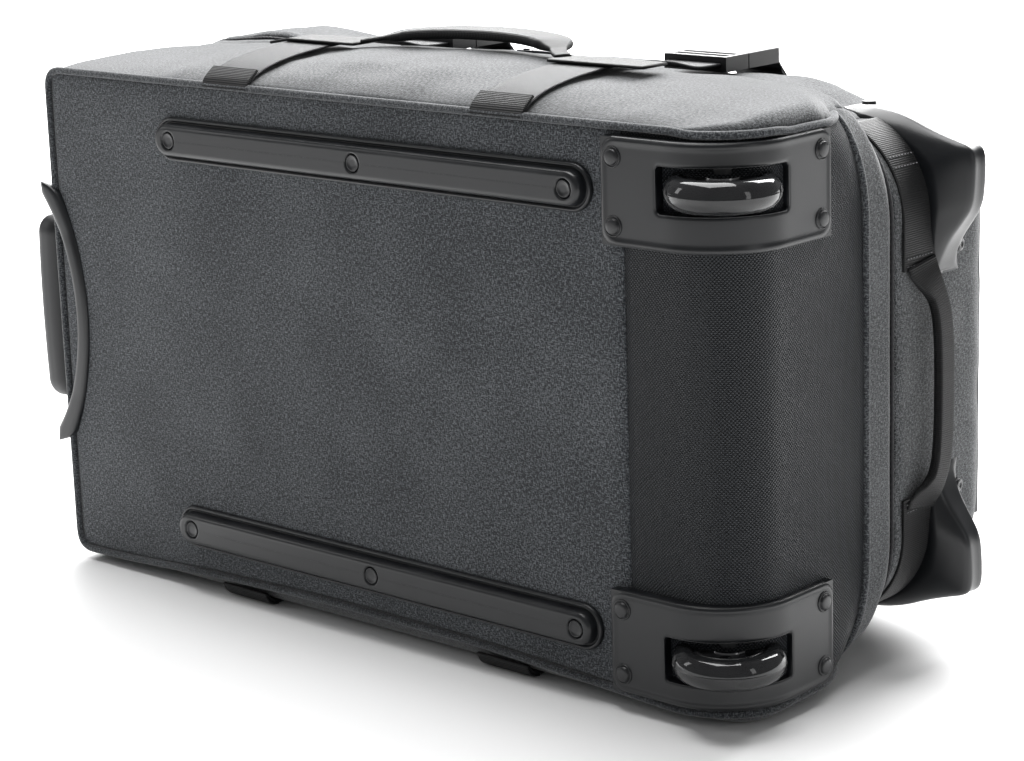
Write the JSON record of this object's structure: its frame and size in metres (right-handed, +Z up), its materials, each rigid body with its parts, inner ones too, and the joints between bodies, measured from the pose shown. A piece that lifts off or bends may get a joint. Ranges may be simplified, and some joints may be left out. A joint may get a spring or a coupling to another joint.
{
  "type": "wheeled travel duffel",
  "caption": "Soft-sided travel duffel with a telescopic trolley handle, skate wheels in corner housings, back skid rails, compression straps, grab handles and a zipped front flap.",
  "frame": {"origin": "centre of the box's footprint on the floor, with the bag lying on its long lower side", "axes": "+X from the trolley handle to the wheel end, +Y from the back panel to the front flap, +Z up across the bag's width"},
  "size_m": [0.681, 0.313, 0.395],
  "materials": {
    "fabric_back": "dark grey melange woven polyester",
    "fabric_side": "grey melange woven polyester, soft and padded",
    "scuff_cloth": "black ballistic nylon with a diagonal weave",
    "webbing": "black ribbed webbing",
    "piping": "self-fabric piping",
    "lining": "black lining cloth",
    "zip_tape": "black zip tape with nylon coil",
    "moulding": "fine-grained black moulded plastic",
    "rivet": "satin black rivet",
    "grip_rubber": "soft-touch black",
    "buckle": "black acetal",
    "board": "honeycomb board",
    "tube_metal": "anodised dark grey",
    "steel": "bright steel",
    "zip_metal": "gunmetal",
    "tyre_clear": "smoky clear polyurethane, glossy",
    "hub_black": "black nylon hub"
  },
  "bodies": {
    "case": {"back_panel": "fabric_back", "scuff_wrap": "scuff_cloth", "upper_side": "fabric_side", "lower_side": "fabric_side", "handle_end": "fabric_side", "base_end": "fabric_side", "front_frame": "fabric_side", "back_piping": "piping", "back_board": "board", "base_board": "board", "tube_cover": "lining", "upper_rail": "moulding", "lower_rail": "moulding", "rail_rivets": "rivet", "upper_housing": "moulding", "lower_housing": "moulding", "housing_rivets": "rivet", "wheel_axles": "steel", "upper_foot": "moulding", "lower_foot": "moulding", "foot_screws": "rivet", "handle_bezel": "moulding", "handle_cup": "moulding", "outer_tubes": "tube_metal", "tube_base": "moulding", "frame_zip": "zip_tape", "divider_zip": "zip_tape", "base_webbing": "webbing", "handle_anchors": "webbing", "compression_straps": "webbing", "buckle_sockets": "buckle"},
    "flap": {"front_flap": "fabric_side", "flap_zip": "zip_tape"},
    "middle_section": {"middle_tubes": "tube_metal"},
    "handle_section": {"inner_tubes": "tube_metal", "grip": "grip_rubber"},
    "button": {"release_button": "grip_rubber", "release_rods": "steel"},
    "upper_wheel": {"upper_tyre": "tyre_clear", "upper_hub": "hub_black", "upper_bearings": "steel"},
    "lower_wheel": {"lower_tyre": "tyre_clear", "lower_hub": "hub_black", "lower_bearings": "steel"},
    "divider_zip_slider": {"divider_slider": "zip_metal"},
    "divider_zip_pull": {"divider_pull": "zip_tape"},
    "flap_zip_slider_a": {"flap_slider_a": "zip_metal"},
    "flap_zip_pull_a": {"flap_pull_a": "zip_tape"},
    "flap_zip_slider_b": {"flap_slider_b": "zip_metal"},
    "flap_zip_pull_b": {"flap_pull_b": "zip_tape"},
    "plug_upper_a": {"upper_plug_a": "buckle"},
    "plug_upper_b": {"upper_plug_b": "buckle"},
    "plug_lower_a": {"lower_plug_a": "buckle"},
    "plug_lower_b": {"lower_plug_b": "buckle"},
    "carry_handle": {"side_handle": "webbing"},
    "grab_handle": {"base_handle": "webbing"}
  },
  "joints": [
    {"name": "flap_hinge", "type": "hinge", "parent": "case", "child": "flap", "pos_m": [0.2507, 0.1511, 0.1855], "axis": [0, 0, -1], "range_deg": [0, 120]},
    {"name": "middle_slide", "type": "slide", "parent": "case", "child": "middle_section", "axis": [-1, 0, 0], "range_m": [0, 0.23]},
    {"name": "handle_slide", "type": "slide", "parent": "middle_section", "child": "handle_section", "axis": [-1, 0, 0], "range_m": [0, 0.24]},
    {"name": "button_press", "type": "slide", "parent": "handle_section", "child": "button", "axis": [1, 0, 0], "range_m": [0, 0.003], "stiffness_N_per_m": 800},
    {"name": "upper_wheel_spin", "type": "hinge", "parent": "case", "child": "upper_wheel", "pos_m": [0.2945, -0.1215, 0.3293], "axis": [0, 0, 1], "continuous": true},
    {"name": "lower_wheel_spin", "type": "hinge", "parent": "case", "child": "lower_wheel", "pos_m": [0.2945, -0.1215, 0.0417], "axis": [0, 0, 1], "continuous": true},
    {"name": "divider_zip_run", "type": "slide", "parent": "case", "child": "divider_zip_slider", "axis": [1, 0, 0], "range_m": [-0.065, 0.035]},
    {"name": "divider_pull_turn", "type": "hinge", "parent": "divider_zip_slider", "child": "divider_zip_pull", "pos_m": [0.02, 0.0255, 0.377], "axis": [0, -1, 0], "range_deg": [0, 55]},
    {"name": "flap_zip_run_a", "type": "slide", "parent": "case", "child": "flap_zip_slider_a", "axis": [1, 0, 0], "range_m": [-0.02, 0.012]},
    {"name": "flap_pull_turn_a", "type": "hinge", "parent": "flap_zip_slider_a", "child": "flap_zip_pull_a", "pos_m": [-0.1971, 0.1551, 0.3182], "axis": [0, 0, -1], "range_deg": [0, 110]},
    {"name": "flap_zip_run_b", "type": "slide", "parent": "case", "child": "flap_zip_slider_b", "axis": [1, 0, 0], "range_m": [0, 0.38]},
    {"name": "flap_pull_turn_b", "type": "hinge", "parent": "flap_zip_slider_b", "child": "flap_zip_pull_b", "pos_m": [-0.1559, 0.1551, 0.3182], "axis": [0, 0, 1], "range_deg": [0, 110]},
    {"name": "buckle_upper_a", "type": "slide", "parent": "case", "child": "plug_upper_a", "axis": [0, -1, 0], "range_m": [0, 0.025]},
    {"name": "buckle_upper_b", "type": "slide", "parent": "case", "child": "plug_upper_b", "axis": [0, -1, 0], "range_m": [0, 0.025]},
    {"name": "buckle_lower_a", "type": "slide", "parent": "case", "child": "plug_lower_a", "axis": [0, -1, 0], "range_m": [0, 0.025]},
    {"name": "buckle_lower_b", "type": "slide", "parent": "case", "child": "plug_lower_b", "axis": [0, -1, 0], "range_m": [0, 0.025]},
    {"name": "carry_handle_lift", "type": "hinge", "parent": "case", "child": "carry_handle", "pos_m": [0.019, -0.0465, 0.3862], "axis": [1, 0, 0], "range_deg": [0, 100]},
    {"name": "grab_handle_lift", "type": "hinge", "parent": "case", "child": "grab_handle", "pos_m": [0.315, 0.0415, 0.182], "axis": [0, 0, -1], "range_deg": [0, 55]}
  ]
}
